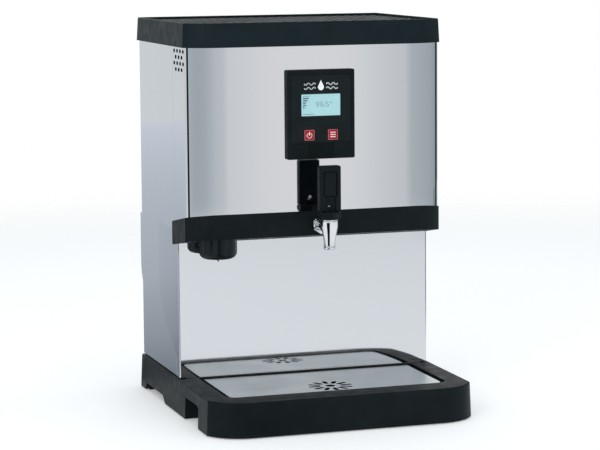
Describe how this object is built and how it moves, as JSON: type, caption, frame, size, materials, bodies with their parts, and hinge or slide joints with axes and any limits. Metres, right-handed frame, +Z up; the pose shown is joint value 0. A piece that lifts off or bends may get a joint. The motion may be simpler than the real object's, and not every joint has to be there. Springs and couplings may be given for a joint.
{
  "type": "countertop water dispenser",
  "caption": "Automatic-fill countertop hot water dispenser: polished steel casing on a black base, black ribbed lid, small control panel, lever tap and lift-out drip tray.",
  "frame": {"origin": "on the worktop, under the middle of the whole object's plan", "axes": "+Z up, the front with tap and control panel faces -Y, +X to the right seen from the front"},
  "size_m": [0.404, 0.4366, 0.581],
  "materials": {
    "steel_polished": "mirror-polished stainless sheet",
    "steel_satin": "satin",
    "steel_plain": "plain mill finish",
    "plate_steel": "fine satin, all-over",
    "chrome": "bright plated",
    "black_plastic": "fine texture, low sheen",
    "black_gloss": "smooth gloss",
    "overlay": "printed film, satin",
    "lcd": "clear window over a pale display",
    "red_key": "satin red",
    "board": "lacquered laminate",
    "white_plastic": "moulded",
    "clear_hose": "food-grade tube",
    "foam": "closed-cell insulation",
    "silicone": "smooth silicone",
    "rubber": "matt",
    "brass": "machined",
    "spring_steel": "drawn wire",
    "filter_plastic": "moulded, ribbed grip"
  },
  "bodies": {
    "root": {"base_moulding": "black_plastic", "base_feet": "rubber", "chassis_frame": "steel_plain", "tank_shelf": "steel_plain", "left_side_panel": "steel_polished", "right_side_panel": "steel_polished", "rear_panel": "steel_satin", "casing_screws": "steel_plain", "splashback": "steel_polished", "left_vent_strip": "steel_polished", "right_vent_strip": "steel_polished", "edge_seals": "black_plastic", "front_panel": "steel_polished", "head_skirt": "black_plastic", "lid": "black_plastic", "control_bezel": "black_plastic", "keypad_overlay": "overlay", "display_window": "lcd", "status_window": "black_gloss", "display_board": "board", "main_board": "board", "board_standoffs": "white_plastic", "terminal_block": "white_plastic", "cable_gland": "black_plastic", "inlet_valve_body": "brass", "inlet_valve_coil": "black_gloss", "inlet_valve_spring": "spring_steel", "supply_hose": "clear_hose", "filter_head": "white_plastic", "filter_bracket": "steel_plain", "tank_body": "steel_satin", "tank_jacket": "foam", "tank_gasket": "silicone", "tank_lid": "steel_satin", "tank_screws": "steel_plain", "heating_element": "steel_satin", "level_probes": "steel_satin", "temperature_probe": "steel_satin", "overheat_cutout": "black_gloss", "steam_vent_pipe": "silicone", "fill_pipe": "clear_hose", "outlet_pipe": "silicone", "tap_body": "chrome", "tap_backnut": "brass", "tap_bonnet": "black_plastic", "tap_spring": "spring_steel"},
    "tap_stem": {"tap_stem": "black_plastic", "tap_seat_washer": "rubber", "tap_pivot_pin": "steel_plain"},
    "tap_lever": {"tap_lever": "black_plastic", "lever_screw": "chrome"},
    "power_key": {"power_key": "red_key"},
    "function_key": {"function_key": "red_key"},
    "drip_tray": {"drip_tray": "black_plastic", "tray_pads": "rubber"},
    "drip_plate": {"drip_plate": "plate_steel"},
    "filter_sleeve": {"filter_valve_sleeve": "white_plastic"},
    "filter_unit": {"filter_cartridge": "white_plastic", "filter_knob": "filter_plastic"},
    "inlet_plunger": {"inlet_valve_plunger": "steel_plain"}
  },
  "joints": [
    {"name": "tap_stem_lift", "type": "slide", "parent": "root", "child": "tap_stem", "axis": [0, 0, 1], "range_m": [0, 0.0025], "deforming": ["tap_spring"]},
    {"name": "tap_lever_tilt", "type": "hinge", "parent": "tap_stem", "child": "tap_lever", "pos_m": [0, -0.13225, 0.311], "axis": [1, 0, 0], "range_deg": [0, 30], "stiffness_Nm_per_rad": 1, "springref_deg": -17.19},
    {"name": "power_key_press", "type": "slide", "parent": "root", "child": "power_key", "axis": [0, 1, 0], "range_m": [0, 0.0008], "stiffness_N_per_m": 1500, "springref_m": -0.0005},
    {"name": "function_key_press", "type": "slide", "parent": "root", "child": "function_key", "axis": [0, 1, 0], "range_m": [0, 0.0008], "stiffness_N_per_m": 1500, "springref_m": -0.0005},
    {"name": "drip_tray_slide", "type": "slide", "parent": "root", "child": "drip_tray", "axis": [0, -1, 0], "range_m": [0, 0.23]},
    {"name": "drip_plate_lift", "type": "slide", "parent": "drip_tray", "child": "drip_plate", "axis": [0, 0, 1], "range_m": [0, 0.12]},
    {"name": "filter_turn", "type": "hinge", "parent": "root", "child": "filter_sleeve", "pos_m": [-0.145, -0.04975, 0.415], "axis": [0, 0, 1], "range_deg": [0, 90]},
    {"name": "filter_draw", "type": "slide", "parent": "filter_sleeve", "child": "filter_unit", "axis": [0, 0, -1], "range_m": [0, 0.165]},
    {"name": "inlet_plunger_lift", "type": "slide", "parent": "root", "child": "inlet_plunger", "axis": [0, 0, 1], "range_m": [0, 0.0023], "stiffness_N_per_m": 400, "springref_m": -0.004, "deforming": ["inlet_valve_spring"]}
  ],
  "couplings": [
    {"joint": "tap_stem_lift", "follows": "tap_lever_tilt", "m_per_rad": 0.0045}
  ]
}
